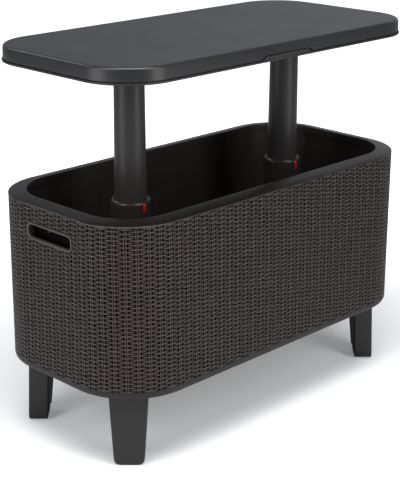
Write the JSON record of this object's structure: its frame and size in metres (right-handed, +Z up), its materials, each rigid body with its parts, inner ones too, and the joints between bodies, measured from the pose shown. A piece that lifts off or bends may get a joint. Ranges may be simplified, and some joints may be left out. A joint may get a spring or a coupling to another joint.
{
  "type": "cooler table",
  "caption": "Long tub with a woven-look wall on corner legs, whose table top rises straight up on two poles to open a cooler well and lowers again to close it.",
  "frame": {"origin": "on the floor, under the middle of the tub", "axes": "+X along the table's long side, +Y to its back, +Z up; the finger pull and the release buttons face -Y"},
  "size_m": [0.843, 0.409, 0.759],
  "materials": {
    "lid": "fine moulded grain, cool grey",
    "lid_underside": "fine moulded grain, dark grey",
    "weave": "moulded woven-cane pattern, warm dark grey",
    "rim": "satin moulded grain, warm dark grey",
    "liner": "satin, near black brown",
    "leg": "fine moulded grain, dark grey",
    "pole": "satin, dark brown grey",
    "collar": "satin gloss, near black",
    "button": "gloss red",
    "steel": "zinc-plated screw steel",
    "rubber": "matt black"
  },
  "bodies": {
    "tub": {"wall_front": "weave", "wall_back": "weave", "wall_left": "weave", "wall_right": "weave", "base_pan": "leg", "rim_frame": "rim", "liner_floor": "liner", "liner_left": "liner", "liner_right": "liner", "handle_cup_left": "rim", "handle_cup_right": "rim", "leg_front_left": "leg", "leg_front_right": "leg", "leg_back_left": "leg", "leg_back_right": "leg", "leg_screw_front_left_1": "steel", "leg_screw_front_left_2": "steel", "leg_screw_front_right_1": "steel", "leg_screw_front_right_2": "steel", "leg_screw_back_left_1": "steel", "leg_screw_back_left_2": "steel", "leg_screw_back_right_1": "steel", "leg_screw_back_right_2": "steel", "pole_sleeve_left": "liner", "pole_sleeve_right": "liner", "sleeve_gasket_left": "rubber", "sleeve_gasket_right": "rubber", "sleeve_screw_left_1": "steel", "sleeve_screw_left_2": "steel", "sleeve_screw_right_1": "steel", "sleeve_screw_right_2": "steel", "collar_left": "collar", "collar_right": "collar", "latch_spring_left": "steel", "latch_spring_right": "steel", "drain_fitting": "liner", "drain_gasket": "rubber", "drain_nut": "liner"},
    "table_top": {"lid_top": "lid", "lid_bottom": "lid_underside", "lid_screw_1": "steel", "lid_screw_2": "steel", "lid_screw_3": "steel", "lid_screw_4": "steel", "lid_screw_5": "steel", "lid_screw_6": "steel", "lift_pole_left": "pole", "lift_pole_right": "pole", "pole_bush_left": "collar", "pole_bush_right": "collar", "pole_screw_left_1": "steel", "pole_screw_left_2": "steel", "pole_screw_right_1": "steel", "pole_screw_right_2": "steel"},
    "button_left": {"release_button_left": "button", "latch_ring_left": "steel"},
    "button_right": {"release_button_right": "button", "latch_ring_right": "steel"},
    "drain_cap": {"drain_cap": "leg"}
  },
  "joints": [
    {"name": "table_lift", "type": "slide", "parent": "tub", "child": "table_top", "axis": [0, 0, 1], "range_m": [-0.2475, 0]},
    {"name": "button_left_push", "type": "slide", "parent": "tub", "child": "button_left", "axis": [0, 1, 0], "range_m": [0, 0.0022], "stiffness_N_per_m": 2000, "springref_m": -0.0005, "deforming": ["latch_spring_left"]},
    {"name": "button_right_push", "type": "slide", "parent": "tub", "child": "button_right", "axis": [0, 1, 0], "range_m": [0, 0.0022], "stiffness_N_per_m": 2000, "springref_m": -0.0005, "deforming": ["latch_spring_right"]},
    {"name": "drain_cap_turn", "type": "hinge", "parent": "tub", "child": "drain_cap", "pos_m": [0, 0, 0.132], "axis": [0, 0, 1], "range_deg": [0, 90]}
  ]
}
